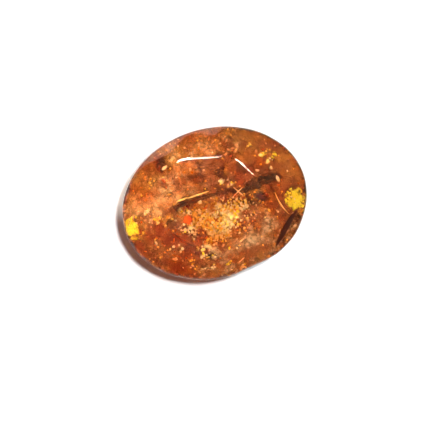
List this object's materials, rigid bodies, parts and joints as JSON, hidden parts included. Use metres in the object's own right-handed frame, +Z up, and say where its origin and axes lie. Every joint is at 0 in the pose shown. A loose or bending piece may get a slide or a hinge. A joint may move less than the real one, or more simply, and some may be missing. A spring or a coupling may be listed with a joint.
{
  "type": "cut sunstone",
  "caption": "Oval faceted sunstone with a broad table, low crown and shallow pavilion cut off flat at the culet, lying table up.",
  "frame": {"origin": "on the surface the stone rests on, under the middle of its outline", "axes": "+X along the oval's long axis, +Y along its short axis, +Z up through the table"},
  "size_m": [0.01, 0.008, 0.0032],
  "materials": {
    "sunstone": "polished clear orange feldspar, full of copper and gold coloured platelets"
  },
  "bodies": {
    "root": {"sunstone": "sunstone"}
  },
  "joints": []
}
